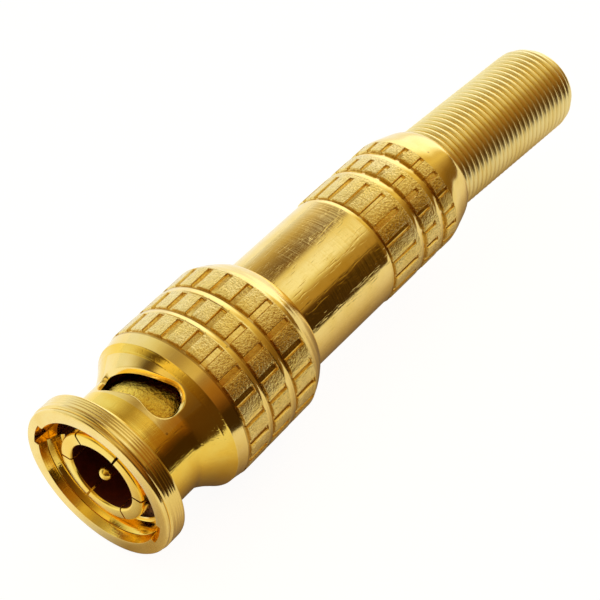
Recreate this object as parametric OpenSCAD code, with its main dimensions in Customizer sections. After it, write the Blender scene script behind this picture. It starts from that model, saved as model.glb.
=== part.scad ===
// BNC cable plug: bayonet coupling nut, plug body with its contacts, a screw-on
// tail sleeve and a close-wound spring that guards the cable.
// Every piece is turned about one axis. The modules draw it standing, with z
// running from the mating face (z = 0) to the tail, and lay() puts that axis
// along +X, so that the mating face looks along -X and the plug lies down.

/* [Coupling nut] */
// Diameter over the gripping bands
nut_d = 14.56; // [14.2:0.02:14.8]
// Length of the plain rim behind the last band's slots
rim_len = 2.23; // [2:0.01:2.6]
// Diameter of the front flange
flange_d = 14.08; // [13.8:0.02:14.2]
// Width of the front flange along the axis
flange_w = 1.95; // [1.8:0.05:2.2]
// Wall of the neck behind the flange
neck_wall = 0.47; // [0.42:0.01:0.52]
// How far the mouth in the mating face is cut outside the neck's radius
mouth_step = 0.38; // [0.3:0.01:0.45]
// Depth of the mouth
mouth_depth = 1.4; // [1.2:0.1:1.5]
// Diameter of the jack's shell
jack_d = 9.7; // [9.6:0.02:9.8]
// Where the rounded shoulder ends, at the sharp edge of the plain ring
shoulder_z = 8.2; // [8:0.1:8.3]
// Radius of the shoulder's rounding
shoulder_r = 3.5; // [3.3:0.1:3.7]
// Wall of the shoulder, which is hollow inside
shoulder_wall = 0.45; // [0.4:0.05:0.55]

/* [Nut grip] */
// Number of slots round each band
nut_slots = 23; // [16:1:24]
// Width of a slot
nut_slot_w = 0.55; // [0.4:0.05:0.7]
// Depth of a slot
nut_slot_depth = 0.22; // [0.1:0.02:0.26]
// Where the first band's groove starts
first_groove_z = 9.45; // [9.3:0.05:9.7]
// Spacing of the bands' grooves
band_pitch = 2.93; // [2.9:0.01:3.1]
// Length of the slots on each band, from its groove
nut_slot_len = [2.32, 2.19, 2.46];
// Width of a groove between bands
groove_w = 0.25; // [0.15:0.05:0.3]
// Depth of a groove between bands
groove_depth = 0.3; // [0.1:0.05:0.4]

/* [Bayonet] */
// Diameter of a jack's lug
lug_d = 2; // [1.9:0.05:2.1]
// How far a jack's lug stands out of its shell
lug_h = 0.64; // [0.6:0.01:0.7]
// Turn from the entry notch to the locked position
lock_turn = 96.5; // [90:0.5:98]
// Middle of the round end along the axis
lock_z = 6.02; // [5.95:0.01:6.1]
// Where the track starts along the axis
track_start_z = 4.85; // [4.7:0.05:5]
// How far the track moves back for each degree of turn
track_rise = 0.0145; // [0.012:0.0005:0.016]
// Width of the track at its start
track_w = 2.05; // [2.02:0.01:2.2]
// Diameter of the round end that a locked lug drops into
detent_d = 2.6; // [2.5:0.05:2.7]
// Wall of the hood over each track's first part
hood_wall = 0.18; // [0.15:0.01:0.35]

/* [Plug body and contacts] */
// How far the body's flange stands out past the tail sleeve's tube
flange_step = 0.17; // [0.12:0.01:0.19]
// Where the stem ends along the axis
stem_end_z = 24.6; // [24:0.1:25]
// Bore through the stem
stem_bore_d = 6.8; // [6.7:0.05:6.9]
// Room between the nut's front bore and the outer contact
shell_room = 0.83; // [0.78:0.01:0.88]
// Wall of the slotted outer contact
contact_wall = 1.12; // [1.05:0.01:1.2]
// How far the contacts stand back from the mating face
contact_recess = 0.6; // [0.4:0.05:0.8]
// Number of slots in the outer contact
contact_slots = 6; // [4:1:8]
// Width of a slot in the outer contact
contact_slot_w = 0.22; // [0.15:0.01:0.3]
// Diameter of the centre pin
pin_d = 1.35; // [1.32:0.01:1.37]
// Diameter of the centre pin's rounded tip
tip_d = 1.05; // [0.9:0.01:1.1]

/* [Tail sleeve] */
// Diameter of the smooth tube
tube_d = 10.76; // [10.7:0.02:10.86]
// Wall of the smooth tube
tube_wall = 0.95; // [0.9:0.01:0.97]
// How far the tail bands stand out past the tube
band_step = 0.12; // [0.08:0.01:0.16]
// Where the sleeve's front end lies inside the nut
sleeve_z = 17; // [16.8:0.1:17.4]
// Length of the domed end behind the last band's slots
dome_len = 3.45; // [3.2:0.05:3.8]
// Number of slots round each tail band
tail_slots = 21; // [16:1:24]
// Width of a tail slot
tail_slot_w = 0.4; // [0.3:0.05:0.5]
// Depth of a tail slot
tail_slot_depth = 0.2; // [0.1:0.02:0.24]
// Where the first tail band starts
tail_first_z = 31.05; // [30:0.05:32]
// Length of the slots on each tail band
tail_slot_len = [3.05, 1.4, 1.25];
// Length of the plain ring behind each tail band's slots
tail_plain_len = 1.45; // [1.3:0.05:1.7]
// Depth of the groove in front of each tail band, from the band
tail_groove_depth = 0.3; // [0.2:0.05:0.35]

/* [Spring] */
// How far the spring's turns lie inside the sleeve's bore
spring_step = 0.28; // [0.24:0.01:0.32]
// Wire diameter
wire_d = 0.6; // [0.56:0.01:0.62]
// Spacing of the turns
spring_pitch = 0.63; // [0.63:0.01:0.66]
// How far the spring reaches behind the sleeve
spring_reach = 19.4; // [17:0.1:21]
// How far the spring's last turns close in
spring_close = 0.8; // [0.4:0.05:0.9]

/* [Hidden] */
$fn = 96;
run = 0.05;                                  // clearance of parts that turn on each other
gap = 0.05;                                  // end play between stacked parts
over = 1;                                    // how far a cutter runs past a face
gold = [0.86, 0.68, 0.24];

// Angles are counted about the axis from the top, towards the camera side.
notch_turn = -74;
hood_end_turn = 34;                          // counted from the notch
nut_slot_turn = 39;
tail_slot_turn = 34.6;
contact_slot_turn = 27;

band_r = nut_d / 2;
flange_r = flange_d / 2;
jack_bore_r = jack_d / 2 + 0.08;
neck_r = jack_bore_r + neck_wall;
mouth_r = neck_r + mouth_step;
lug_reach = jack_d / 2 + lug_h + 0.04;
notch_r = lug_reach + 0.67;
hood_r = lug_reach + hood_wall;
shoulder_axis_r = band_r - 0.15 - shoulder_r;
shoulder_axis_z = shoulder_z + 0.7;
nut_groove_z = [for (b = [0 : 2]) first_groove_z + b * band_pitch];
nut_slot_end_z = nut_groove_z + nut_slot_len;
rim_z = nut_slot_end_z[2] + 0.6;
nut_len = nut_slot_end_z[2] + rim_len;

// The stack inside the nut, from the front: gasket, body flange, wave washer,
// thrust washer and retaining ring.
tube_r = tube_d / 2;
body_flange_r = tube_r + flange_step;
cavity_r = body_flange_r + run;
cavity_z = 11.6;
body_flange_z = cavity_z + gap;
body_flange_w = 1.25;
wave_z = body_flange_z + body_flange_w + gap;
wave_h = 0.8;
thrust_z = wave_z + wave_h + gap;
thrust_w = 0.6;
ring_z = thrust_z + thrust_w + 2 * gap;
ring_w = 0.6;
ring_r = cavity_r + 0.5;
gasket_w = 0.7;

sleeve_bore_r = tube_r - tube_wall;
stem_r = sleeve_bore_r - run;
stem_bore_r = stem_bore_d / 2;
contact_r = jack_bore_r - shell_room;
contact_bore_r = contact_r - contact_wall;
contact_slot_end_z = 8.6;
contact_shank_r = (stem_bore_r + stem_r) / 2 - 0.1;
contact_end_z = 16.4;
insulator_z = 5.4;
insulator_end_z = 17.4;
insulator_head_r = contact_bore_r - 0.02;
pin_r = pin_d / 2;
tip_r = tip_d / 2;
pin_shoulder_z = 3.4;
cup_r = pin_r + 0.475;
cup_end_z = 21.6;

clamp_r = stem_bore_r;
clamp_bore_r = clamp_r - 0.4;
clamp_z = stem_end_z - 4.2;
clamp_end_z = 38.6;
clamp_ear_z = clamp_end_z - 4.4;
clamp_ear_h = 2.6;
liner_bore_r = clamp_r + run;
liner_r = liner_bore_r + 0.45;
liner_z = stem_end_z + 0.4;
liner_end_z = clamp_end_z + 0.3;

tail_r = tube_r + band_step;
tail_second_z = tail_first_z + tail_slot_len[0] + tail_plain_len;
tail_third_z = tail_second_z + tail_slot_len[1] + tail_plain_len;
tail_band_z = [tail_first_z, tail_second_z, tail_third_z];
tail_slot_end_z = tail_band_z + tail_slot_len;
sleeve_end_z = tail_slot_end_z[2] + dome_len;
spring_r = sleeve_bore_r - spring_step;
spring_hole_r = spring_r + run;
spring_seat_z = sleeve_end_z - 1.4;
foot_r = sleeve_bore_r - run;
wire_r = wire_d / 2;
foot_turns = 2;
spring_start_z = spring_seat_z - run - wire_r - (foot_turns + 1) * spring_pitch;
spring_end_z = sleeve_end_z + spring_reach;

// Lays a piece drawn along z down along +X, with its x side up.
module lay() {
    rotate([0, 90, 0]) rotate([0, 0, 180]) children();
}

// A plain washer or tube from z to z_end.
module tube(r, bore_r, z, z_end) {
    translate([0, 0, z]) difference() {
        cylinder(r = r, h = z_end - z);
        translate([0, 0, -over]) cylinder(r = bore_r, h = z_end - z + 2 * over);
    }
}

// Short slots cut into the outside of one band, evenly spaced.
module band_slots(count, turn, r, w, depth, z, z_end) {
    for (i = [0 : count - 1])
        rotate([0, 0, turn + i * 360 / count])
            translate([r - depth, -w / 2, z])
                cube([depth + over, w, z_end - z]);
}

// Outline points of the nut's front shoulder, a rounding that ends at shoulder_z.
function shoulder_point(z) =
    [shoulder_axis_r + sqrt(pow(shoulder_r, 2) - pow(shoulder_axis_z - z, 2)), z];
shoulder_start_z = shoulder_axis_z - sqrt(pow(shoulder_r, 2) - pow(neck_r + 0.1 - shoulder_axis_r, 2));

module nut_turning() {
    rotate_extrude() polygon(concat(
        [[0, 0], [flange_r - 0.2, 0], [flange_r - 0.12, 0.12], [flange_r - 0.12, 0.3],
         [flange_r - 0.2, 0.36], [flange_r - 0.2, 0.44], [flange_r, 0.56],
         [flange_r, flange_w - 0.25], [flange_r - 0.2, flange_w],
         [neck_r + 0.15, flange_w + 0.03], [neck_r, flange_w + 0.2],
         [neck_r, shoulder_start_z - 0.25]],
        [for (i = [0 : 8]) shoulder_point(shoulder_start_z + (shoulder_z - shoulder_start_z) * i / 8)],
        [[band_r - 0.2, shoulder_z + 0.04], [band_r - 0.13, nut_groove_z[0]]],
        [for (g = nut_groove_z) each [
            [band_r - groove_depth, g + 0.1], [band_r - groove_depth, g + groove_w],
            [band_r, g + groove_w], [band_r, g + band_pitch - 0.33],
            [g == nut_groove_z[2] ? band_r : band_r - 0.06,
             g == nut_groove_z[2] ? rim_z : g + band_pitch - 0.08]]],
        [[band_r - 0.1, rim_z + 0.35], [band_r - 0.32, nut_len - 1], [band_r - 0.72, nut_len - 0.45],
         [band_r - 1.15, nut_len - 0.12], [band_r - 1.5, nut_len], [0, nut_len]]));
}

// The raised hoods that cover the first part of each lug track.
module nut_hoods() {
    for (side = [0, 180])
        rotate([0, 0, side + notch_turn - 26])
            rotate_extrude(angle = hood_end_turn + 26)
                polygon([[neck_r - 0.3, flange_w - 0.3], [hood_r, flange_w - 0.3],
                         [hood_r, lock_z], [neck_r - 0.3, lock_z + 1]]);
}

// The space swept by a lug from the notch to the locked position. A hood covers
// its first part, and the rest is open.
module lug_track() {
    steps = 26;
    first_turn = notch_turn - 8;
    open_turn = notch_turn + hood_end_turn;
    r_in = jack_bore_r - 0.2;
    function turn(i) = first_turn + (notch_turn + lock_turn - first_turn) * i / steps;
    function mid_z(a) = min(lock_z - 0.07, track_start_z + track_rise * (a - notch_turn));
    function half_w(a) = (track_w + (detent_d - 0.4 - track_w) * (a - notch_turn) / lock_turn) / 2;
    function roof_r(a) = a < open_turn ? lug_reach : band_r;
    ring = [for (i = [0 : steps]) let (a = turn(i))
        for (c = [[r_in, -1], [roof_r(a), -1], [roof_r(a), 1], [r_in, 1]])
            [c[0] * cos(a), c[0] * sin(a), mid_z(a) + c[1] * half_w(a)]];
    sides = [for (i = [0 : steps - 1]) for (k = [0 : 3])
        [4 * i + k, 4 * i + (k + 1) % 4, 4 * i + 4 + (k + 1) % 4, 4 * i + 4 + k]];
    polyhedron(points = ring,
               faces = concat([[3, 2, 1, 0]], sides, [[for (k = [0 : 3]) 4 * steps + k]]));
}

module bayonet_cuts() {
    for (side = [0, 180]) rotate([0, 0, side]) {
        // entry notch in the mating face, and a lug's way from it to the track
        rotate([0, 0, notch_turn]) intersection() {
            translate([0, -lug_d / 2 - 0.3, -over])
                cube([notch_r + over, lug_d + 0.6, flange_w - 0.3 + over]);
            translate([0, 0, -2 * over]) cylinder(r = notch_r, h = 6);
        }
        rotate([0, 0, notch_turn]) translate([0, -lug_d / 2 - 0.1, 0])
            cube([lug_reach, lug_d + 0.2, track_start_z]);
        lug_track();
        // the round end that a locked lug rests in
        rotate([0, 0, notch_turn + lock_turn]) translate([0, 0, lock_z]) rotate([0, 90, 0])
            cylinder(d = detent_d, h = band_r);
    }
}

// The hollow behind the neck, which leaves an even wall under the shoulder.
module shoulder_hollow() {
    start_z = shoulder_start_z + 0.15;
    end_z = cavity_z - 1;
    r_in = jack_bore_r - 0.2;
    rotate_extrude() polygon(concat(
        [[r_in, start_z]],
        [for (i = [0 : 8]) shoulder_point(start_z + (shoulder_z - start_z) * i / 8 - 0.1)
            + [-shoulder_wall, 0.1]],
        [[shoulder_axis_r + shoulder_r - shoulder_wall - 0.1, end_z], [r_in, end_z]]));
}

module coupling_nut() {
    color(gold) lay() difference() {
        union() {
            nut_turning();
            nut_hoods();
        }
        translate([0, 0, -over]) cylinder(r = mouth_r, h = mouth_depth + over);
        translate([0, 0, -over]) cylinder(r = jack_bore_r, h = cavity_z + 2 * over);
        shoulder_hollow();
        translate([0, 0, cavity_z]) cylinder(r = cavity_r, h = nut_len);
        translate([0, 0, ring_z]) cylinder(r = ring_r + run, h = ring_w + gap);
        bayonet_cuts();
        for (b = [0 : 2])
            band_slots(nut_slots, nut_slot_turn, band_r, nut_slot_w, nut_slot_depth,
                       nut_groove_z[b] + groove_w / 2, nut_slot_end_z[b]);
    }
}

module plug_body() {
    color(gold) lay() difference() {
        rotate_extrude() polygon([
            [0, body_flange_z], [body_flange_r, body_flange_z],
            [body_flange_r, wave_z - gap], [stem_r + 0.1, wave_z - gap],
            [stem_r + 0.1, sleeve_z - 0.3], [stem_r, sleeve_z - 0.2],
            [stem_r, stem_end_z - 0.4], [stem_r - 0.4, stem_end_z], [0, stem_end_z]]);
        translate([0, 0, body_flange_z - over]) cylinder(r = contact_shank_r, h = contact_end_z);
        translate([0, 0, contact_end_z]) cylinder(r = stem_bore_r, h = stem_end_z);
    }
}

module outer_contact() {
    color(gold) lay() difference() {
        rotate_extrude() polygon([
            [contact_bore_r, contact_recess], [contact_r - 0.1, contact_recess],
            [contact_r, contact_recess + 0.15], [contact_r - 0.05, contact_slot_end_z + 0.3],
            [contact_r, contact_slot_end_z + 0.7], [contact_r, body_flange_z],
            [contact_shank_r, body_flange_z], [contact_shank_r, contact_end_z],
            [contact_bore_r, contact_end_z]]);
        for (i = [0 : contact_slots - 1])
            rotate([0, 0, contact_slot_turn + i * 360 / contact_slots])
                translate([0, -contact_slot_w / 2, 0])
                    cube([contact_r + over, contact_slot_w, contact_slot_end_z]);
    }
}

module front_insulator() {
    color([0.36, 0.09, 0.05]) lay() difference() {
        union() {
            translate([0, 0, insulator_z])
                cylinder(r = insulator_head_r, h = insulator_end_z - insulator_z);
            translate([0, 0, contact_end_z])
                cylinder(r = stem_bore_r - 0.02, h = insulator_end_z - contact_end_z);
        }
        translate([0, 0, insulator_z - over])
            cylinder(r = pin_r, h = insulator_end_z - insulator_z + 2 * over);
        translate([0, 0, insulator_end_z - 1]) cylinder(r = cup_r, h = 2);
    }
}

module centre_pin() {
    color(gold) lay() difference() {
        rotate_extrude() polygon(concat(
            [for (a = [-90 : 15 : 0])
                [tip_r * cos(a), contact_recess + 0.1 + tip_r * (1 + sin(a))]],
            [[tip_r, pin_shoulder_z], [pin_r, pin_shoulder_z + 0.4],
             [pin_r, insulator_end_z - 1], [cup_r, insulator_end_z - 1],
             [cup_r, cup_end_z], [0, cup_end_z]]));
        translate([0, 0, insulator_end_z]) cylinder(r = cup_r - 0.35, h = cup_end_z);
        translate([0, -cup_r, insulator_end_z + 1]) cube([2 * cup_r, 2 * cup_r, 2]);
    }
}

module gasket() {
    color([0.30, 0.12, 0.08]) lay()
        tube(jack_bore_r - 0.1, contact_r, body_flange_z - gasket_w, body_flange_z);
}

// A flat ring bent into three waves, which pushes the nut back.
module wave_washer() {
    segments = 60;
    sheet = 0.2;
    bore_r = stem_r + 0.2;
    rim_r = cavity_r - 0.1;
    function wave(a) = wave_z + (wave_h - sheet) * (1 + cos(3 * a)) / 2;
    ring = [for (i = [0 : segments - 1]) let (a = i * 360 / segments)
        for (c = [[bore_r, 0], [rim_r, 0], [rim_r, sheet], [bore_r, sheet]])
            [c[0] * cos(a), c[0] * sin(a), wave(a) + c[1]]];
    color([0.72, 0.70, 0.66]) lay() polyhedron(points = ring,
        faces = [for (i = [0 : segments - 1]) for (k = [0 : 3])
            let (here = 4 * i, next = 4 * ((i + 1) % segments), up = (k + 1) % 4)
                [here + k, here + up, next + up, next + k]]);
}

module thrust_washer() {
    color([0.72, 0.70, 0.66]) lay()
        tube(cavity_r - run, stem_r + 0.15, thrust_z, thrust_z + thrust_w);
}

// An open ring that springs into the nut's groove.
module retaining_ring() {
    color([0.72, 0.70, 0.66]) lay() difference() {
        tube(ring_r, stem_r + 0.35, ring_z, ring_z + ring_w);
        translate([0, -1, ring_z - over]) cube([ring_r + over, 2, ring_w + 2 * over]);
    }
}

// Ground trough for the cable's braid. Its rear end is higher, to crimp over it.
module cable_clamp() {
    color(gold) lay() difference() {
        tube(clamp_r, clamp_bore_r, clamp_z, clamp_end_z);
        translate([0, -2 * clamp_r, stem_end_z + 0.2])
            cube([4 * clamp_r, 4 * clamp_r, clamp_ear_z - stem_end_z - 0.2]);
        translate([clamp_ear_h, -2 * clamp_r, clamp_ear_z - over])
            cube([4 * clamp_r, 4 * clamp_r, clamp_end_z]);
    }
}

module insulating_sleeve() {
    color([0.86, 0.87, 0.86, 0.5]) lay() tube(liner_r, liner_bore_r, liner_z, liner_end_z);
}

module tail_sleeve() {
    color(gold) lay() difference() {
        rotate_extrude() polygon(concat(
            [[0, sleeve_z], [tube_r - 0.2, sleeve_z], [tube_r, sleeve_z + 0.2]],
            [for (b = [0 : 2]) each [
                [b == 0 ? tube_r : tail_r - 0.18, tail_band_z[b] - 0.25],
                [tail_r - tail_groove_depth, tail_band_z[b] - 0.12],
                [tail_r - tail_groove_depth, tail_band_z[b]],
                [tail_r, tail_band_z[b]], [tail_r, tail_slot_end_z[b] + 0.1]]],
            [[tail_r - 0.1, sleeve_end_z - dome_len + 0.65], [tail_r - 0.3, sleeve_end_z - 2.1],
             [tail_r - 0.55, sleeve_end_z - 1.2], [tail_r - 0.78, sleeve_end_z - 0.55],
             [tail_r - 1, sleeve_end_z - 0.15], [tail_r - 1.2, sleeve_end_z], [0, sleeve_end_z]]));
        translate([0, 0, sleeve_z - over]) cylinder(r = sleeve_bore_r, h = spring_seat_z - sleeve_z + over);
        translate([0, 0, sleeve_z]) cylinder(r = spring_hole_r, h = sleeve_end_z);
        for (b = [0 : 2])
            band_slots(tail_slots, tail_slot_turn, tail_r, tail_slot_w, tail_slot_depth,
                       tail_band_z[b] - 0.06, tail_slot_end_z[b]);
    }
}

// A close-wound spring: wide foot turns held behind the sleeve's rear lip, then
// even turns, and a last part that closes in to a rounded end.
module strain_relief_spring() {
    steps_per_turn = 16;
    wire_sides = 6;
    turns = (spring_end_z - wire_r - spring_start_z) / spring_pitch;
    steps = floor(turns * steps_per_turn);
    function coil_r(t) = t < foot_turns ? foot_r - wire_r
        : t < foot_turns + 1 ? foot_r - wire_r - (foot_r - spring_r) * (t - foot_turns)
        : turns - t > 3 ? spring_r - wire_r
        : spring_r - wire_r - spring_close * pow((3 - turns + t) / 3, 2);
    ring = [for (i = [0 : steps]) let (t = i / steps_per_turn, a = 360 * t)
        for (k = [0 : wire_sides - 1]) let (b = 360 * k / wire_sides, r = coil_r(t) + wire_r * cos(b))
            [r * cos(a), r * sin(a), spring_start_z + t * spring_pitch + wire_r * sin(b)]];
    sides = [for (i = [0 : steps - 1]) for (k = [0 : wire_sides - 1])
        let (here = wire_sides * i, next = wire_sides * (i + 1), up = (k + 1) % wire_sides)
            [here + k, next + k, next + up, here + up]];
    color(gold) lay() polyhedron(points = ring, faces = concat(
        [[for (k = [0 : wire_sides - 1]) k]], sides,
        [[for (k = [wire_sides - 1 : -1 : 0]) wire_sides * steps + k]]));
}

coupling_nut();
plug_body();
outer_contact();
front_insulator();
centre_pin();
gasket();
wave_washer();
thrust_washer();
retaining_ring();
cable_clamp();
insulating_sleeve();
tail_sleeve();
strain_relief_spring();
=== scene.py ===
"""Looks of a gold-plated bayonet cable plug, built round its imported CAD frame.

Lengths in the tables are millimetres. The plug's axis is +X, from the mating face
(x = 0) to the tail. A place on it is a station x, a radius r and a turn: the angle
in degrees about the axis, from the top (+Z) towards -Y.
"""

import math

import bpy
import numpy as np
from mathutils import Matrix, Vector


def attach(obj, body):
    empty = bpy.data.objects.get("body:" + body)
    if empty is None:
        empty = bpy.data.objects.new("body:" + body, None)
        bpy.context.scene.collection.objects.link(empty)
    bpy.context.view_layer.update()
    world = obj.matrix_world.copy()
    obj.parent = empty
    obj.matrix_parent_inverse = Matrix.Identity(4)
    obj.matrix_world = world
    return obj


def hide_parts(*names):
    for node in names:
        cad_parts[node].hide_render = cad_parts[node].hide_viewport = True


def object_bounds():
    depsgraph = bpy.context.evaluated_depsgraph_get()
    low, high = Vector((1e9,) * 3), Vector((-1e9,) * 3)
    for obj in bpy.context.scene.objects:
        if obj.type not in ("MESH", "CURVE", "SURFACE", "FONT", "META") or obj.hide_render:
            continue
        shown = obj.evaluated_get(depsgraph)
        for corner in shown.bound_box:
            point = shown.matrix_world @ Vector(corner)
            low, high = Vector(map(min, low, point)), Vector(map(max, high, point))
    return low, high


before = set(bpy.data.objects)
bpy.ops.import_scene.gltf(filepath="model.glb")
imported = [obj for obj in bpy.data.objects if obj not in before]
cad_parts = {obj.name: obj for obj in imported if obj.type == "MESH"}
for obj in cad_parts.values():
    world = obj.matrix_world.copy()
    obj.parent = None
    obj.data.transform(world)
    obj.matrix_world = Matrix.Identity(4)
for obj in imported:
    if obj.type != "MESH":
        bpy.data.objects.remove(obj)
cad_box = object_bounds()

MM = 0.001


# ---------------------------------------------------------------- mesh building


class Skin:
    """Points given by station, radius and turn, and the faces between them."""

    def __init__(self):
        self.points = []
        self.faces = []
        self.finishes = []

    def point(self, x, r, turn):
        self.points.append((x, r, turn))
        return len(self.points) - 1

    def ring(self, xs, radii, turns):
        """One point per turn. xs and radii are single values or one per turn."""
        xs = np.broadcast_to(xs, len(turns))
        radii = np.broadcast_to(radii, len(turns))
        return [self.point(x, r, t) for x, r, t in zip(xs, radii, turns)]

    def bridge(self, first, second, finish=0, closed=True, skip=()):
        """Quads between two rows of equal length. skip holds the columns left open."""
        count = len(first)
        for i in range(count if closed else count - 1):
            if i in skip:
                continue
            j = (i + 1) % count
            self.faces.append((first[i], first[j], second[j], second[i]))
            self.finishes.append(finish if isinstance(finish, int) else finish[i])

    def cap(self, row, finish=0):
        self.faces.append(tuple(row))
        self.finishes.append(finish)

    def build(self, name, materials, shift=None):
        """The mesh object. shift moves the points, given and returned in mm."""
        table = np.array(self.points, float)
        turn = np.radians(table[:, 2])
        places = np.stack(
            [table[:, 0], -table[:, 1] * np.sin(turn), table[:, 1] * np.cos(turn)], 1
        )
        if shift is not None:
            places = shift(places)
        mesh = bpy.data.meshes.new(name)
        mesh.from_pydata((places * MM).tolist(), [], self.faces)
        mesh.polygons.foreach_set("use_smooth", [True] * len(self.faces))
        for material in materials:
            mesh.materials.append(material)
        mesh.polygons.foreach_set("material_index", self.finishes)
        mesh.update()
        mesh.set_sharp_from_angle(angle=math.radians(32))
        piece = bpy.data.objects.new(name, mesh)
        bpy.context.collection.objects.link(piece)
        return piece


def even_turns(count):
    return [360 * i / count for i in range(count)]


def slot_turns(slots, first, width, radius):
    """Turns round a slotted band: close together at the slot edges, even elsewhere.

    Returns them with how deep each one lies in its slot, from 0 (on the band) to 1.
    """
    edge = [(0.11, 0), (0.05, 0.05), (0.02, 0.3), (-0.01, 0.85), (-0.05, 1)]
    across = [(width / 2 + out, deep) for out, deep in edge] + [(width / 5, 1)]
    across = [(-at, deep) for at, deep in across] + [(0, 1)] + across[::-1]
    pitch = 2 * math.pi * radius / slots
    land = np.linspace(across[-1][0], pitch + across[0][0], 6)[1:-1]
    across += [(at, 0) for at in land]
    turns, depths = [], []
    for i in range(slots):
        for at, deep in across:
            turns.append(first + 360 * i / slots + math.degrees(at / radius))
            depths.append(deep)
    return np.array(turns), np.array(depths)


def groove_rows(start, front_r, bottom_r, band_r, width):
    """Profile rows (x, r) of a turned groove: a sloping front and a steep rear."""
    rear = start + width
    return [
        (start - 0.03, front_r),
        (start, front_r - 0.03),
        (start + 0.09, bottom_r),
        (rear - 0.01, bottom_r),
        (rear, band_r - 0.06),
        (rear + 0.03, band_r - 0.015),
        (rear + 0.08, band_r),
    ]


def slot_end_rows(slot_end, band_r):
    """Profile rows where the slots of a band run out, with their share of slot."""
    return [
        (slot_end - 0.05, band_r, 1, "cast"),
        (slot_end - 0.01, band_r, 0.85, "cast"),
        (slot_end + 0.02, band_r, 0.2, "cast"),
        (slot_end + 0.06, band_r, 0, "cast"),
    ]


def closed_curve(corners, counts):
    """Points on the smooth closed curve through the given (turn, x) points.

    corners is a list of point lists. counts says how many points are wanted from the
    start of each list to the start of the next. Also returns the outward normals.
    """
    points = np.array([p for part in corners for p in part], float)
    starts = np.cumsum([0] + [len(part) for part in corners])
    reach = math.radians(NECK_R)
    points[:, 0] *= reach
    steps = 24
    dense, mark = [], []
    before, after = np.roll(points, 1, 0), np.roll(points, -1, 0)
    beyond = np.roll(points, -2, 0)
    for a, b, c, d in zip(before, points, after, beyond):
        mark.append(len(dense))
        for t in np.linspace(0, 1, steps, endpoint=False):
            dense.append(
                b
                + 0.5 * t * (c - a)
                + t * t * (a - 2.5 * b + 2 * c - 0.5 * d)
                + t ** 3 * (1.5 * (b - c) + 0.5 * (d - a))
            )
    mark.append(len(dense))
    dense = np.array(dense + dense[:1])
    along = np.append(0, np.cumsum(np.hypot(*np.diff(dense, axis=0).T)))
    at = np.concatenate(
        [
            np.linspace(along[mark[i]], along[mark[j]], count, endpoint=False)
            for i, j, count in zip(starts, starts[1:], counts)
        ]
    )
    edge = np.stack([np.interp(at, along, dense[:, k]) for k in (0, 1)], 1)
    ahead = np.roll(edge, -1, 0) - np.roll(edge, 1, 0)
    normal = np.stack([ahead[:, 1], -ahead[:, 0]], 1)
    normal /= np.linalg.norm(normal, axis=1)[:, None]
    return edge / (reach, 1), normal / (reach, 1)


# -------------------------------------------------------------- node materials


class Nodes:
    """Short ways to add and join the nodes of one tree."""

    def __init__(self, tree):
        self.tree = tree

    def add(self, kind, **settings):
        node = self.tree.nodes.new(kind)
        for name, value in settings.items():
            setattr(node, name, value)
        return node

    def link(self, source, target):
        self.tree.links.new(source, target)

    def put(self, socket, value):
        if isinstance(value, bpy.types.NodeSocket):
            self.link(value, socket)
        else:
            socket.default_value = value

    def math(self, operation, *values, clamp=False):
        node = self.add("ShaderNodeMath", operation=operation, use_clamp=clamp)
        for i, value in enumerate(values):
            self.put(node.inputs[i], value)
        return node.outputs[0]

    def stretched(self, vector, scale):
        node = self.add("ShaderNodeVectorMath", operation="MULTIPLY")
        self.put(node.inputs[0], vector)
        self.put(node.inputs[1], scale)
        return node.outputs[0]

    def noise(self, vector, scale=1.0, detail=2.0, roughness=0.5):
        node = self.add("ShaderNodeTexNoise")
        self.put(node.inputs["Vector"], vector)
        self.put(node.inputs["Scale"], scale)
        self.put(node.inputs["Detail"], detail)
        self.put(node.inputs["Roughness"], roughness)
        return node.outputs["Fac"]

    def spread(self, value, low, high, to_low=0.0, to_high=1.0):
        node = self.add("ShaderNodeMapRange")
        for name, given in (
            ("Value", value),
            ("From Min", low),
            ("From Max", high),
            ("To Min", to_low),
            ("To Max", to_high),
        ):
            self.put(node.inputs[name], given)
        return node.outputs[0]

    def blend(self, share, first, second):
        node = self.add("ShaderNodeMix", data_type="RGBA")
        self.put(node.inputs[0], share)
        self.put(node.inputs[6], first)
        self.put(node.inputs[7], second)
        return node.outputs[2]

    def ramp(self, value, stops):
        node = self.add("ShaderNodeValToRGB")
        elements = node.color_ramp.elements
        while len(elements) < len(stops):
            elements.new(0.5)
        for element, (place, colour) in zip(elements, stops):
            element.position = place
            element.color = (*colour, 1)
        self.put(node.inputs[0], value)
        return node.outputs[0]

    def bump(self, height, strength, depth, under=None):
        """The normal of a surface raised by height. under is the coarser normal."""
        node = self.add("ShaderNodeBump")
        self.put(node.inputs["Strength"], strength)
        self.put(node.inputs["Distance"], depth)
        self.put(node.inputs["Height"], height)
        if under is not None:
            self.put(node.inputs["Normal"], under)
        return node.outputs["Normal"]


def node_group(name, inputs, outputs):
    """An empty shader group with the given sockets: [(name, kind, default)]."""
    tree = bpy.data.node_groups.new(name, "ShaderNodeTree")
    for direction, sockets in (("INPUT", inputs), ("OUTPUT", outputs)):
        for label, kind, default in sockets:
            socket = tree.interface.new_socket(
                label, in_out=direction, socket_type=f"NodeSocket{kind}"
            )
            if default is not None:
                socket.default_value = default
    nodes = Nodes(tree)
    return tree, nodes, nodes.add("NodeGroupInput"), nodes.add("NodeGroupOutput")


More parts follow.
